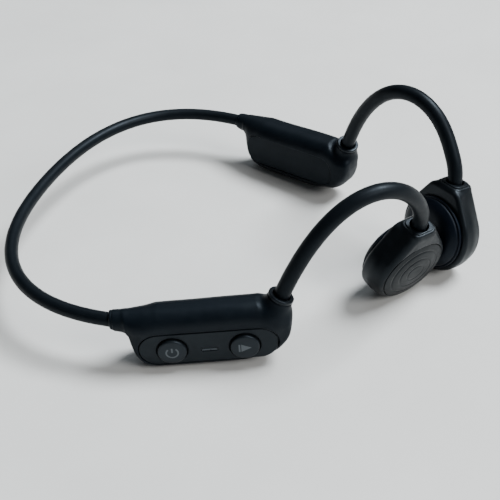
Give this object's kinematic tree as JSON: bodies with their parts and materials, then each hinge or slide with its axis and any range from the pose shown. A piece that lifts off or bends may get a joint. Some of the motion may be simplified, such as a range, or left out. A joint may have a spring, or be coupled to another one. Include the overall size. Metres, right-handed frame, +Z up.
{
  "type": "bone conduction headphones",
  "caption": "Wireless behind-the-head headphones: a springy neckband joins two control pods, and ear hooks carry sound transducers that rest on the cheekbones.",
  "frame": {"origin": "centre of the bounding box, at its base: the table that the set lies on", "axes": "+X to the wearer's right, +Y forward, from the neckband towards the transducers, +Z up"},
  "size_m": [0.1424, 0.1702, 0.0616],
  "materials": {
    "soft_black": "soft-touch matt black",
    "satin_black": "satin moulded black",
    "gloss_black": "semi-gloss black",
    "pad_navy": "smooth dark blue-black silicone",
    "grey_rubber": "plain",
    "titanium": "drawn spring wire",
    "steel": "plain",
    "magnet_nickel": "nickel plated",
    "copper": "enamelled or insulated wire",
    "gold": "gold plated",
    "board_green": "solder mask",
    "chip_black": "moulded package",
    "cell_foil": "foil pouch",
    "led_white": "diffuse",
    "smoked_lens": "smoked clear"
  },
  "bodies": {
    "frame": {"battery_board": "board_green", "battery_cell": "cell_foil", "charge_contact_front": "gold", "charge_contact_rear": "gold", "control_panel": "satin_black", "left_band_boot": "soft_black", "left_contact_pad": "pad_navy", "left_cover_seal": "grey_rubber", "left_driver_cap": "satin_black", "left_driver_housing": "satin_black", "left_driver_lip": "gloss_black", "left_hook_lead": "copper", "left_hook_ring": "gloss_black", "left_hook_sleeve": "soft_black", "left_hook_spring_wire": "titanium", "left_pod_cover": "soft_black", "left_pod_housing": "soft_black", "left_suspension_spring": "steel", "left_vibration_plate": "steel", "left_voice_coil": "copper", "light_guide": "smoked_lens", "main_board": "board_green", "microphone": "steel", "neckband_lead": "copper", "neckband_sleeve": "soft_black", "neckband_spring_wire": "titanium", "play_switch": "steel", "power_switch": "steel", "radio_chip": "chip_black", "right_band_boot": "soft_black", "right_contact_pad": "pad_navy", "right_cover_seal": "grey_rubber", "right_driver_cap": "satin_black", "right_driver_housing": "satin_black", "right_driver_lip": "gloss_black", "right_hook_lead": "copper", "right_hook_ring": "gloss_black", "right_hook_sleeve": "soft_black", "right_hook_spring_wire": "titanium", "right_pod_cover": "soft_black", "right_pod_housing": "soft_black", "right_suspension_spring": "steel", "right_vibration_plate": "steel", "right_voice_coil": "copper", "status_led": "led_white"},
    "power_button": {"power_button": "satin_black"},
    "play_button": {"play_button": "satin_black"},
    "right_magnet_mass": {"right_magnet": "magnet_nickel", "right_magnet_yoke": "steel"},
    "left_magnet_mass": {"left_magnet": "magnet_nickel", "left_magnet_yoke": "steel"}
  },
  "joints": [
    {"name": "power_press", "type": "slide", "parent": "frame", "child": "power_button", "axis": [-0.9388, -0.3445, 0], "range_m": [0, 0.0004], "stiffness_N_per_m": 3000},
    {"name": "play_press", "type": "slide", "parent": "frame", "child": "play_button", "axis": [-0.9388, -0.3445, 0], "range_m": [0, 0.0004], "stiffness_N_per_m": 3000},
    {"name": "right_magnet_shake", "type": "slide", "parent": "frame", "child": "right_magnet_mass", "axis": [0.614, 0.7474, -0.2538], "range_m": [-0.00015, 0.00015], "stiffness_N_per_m": 4000},
    {"name": "left_magnet_shake", "type": "slide", "parent": "frame", "child": "left_magnet_mass", "axis": [-0.7928, 0.5909, -0.1495], "range_m": [-0.00015, 0.00015], "stiffness_N_per_m": 4000}
  ]
}
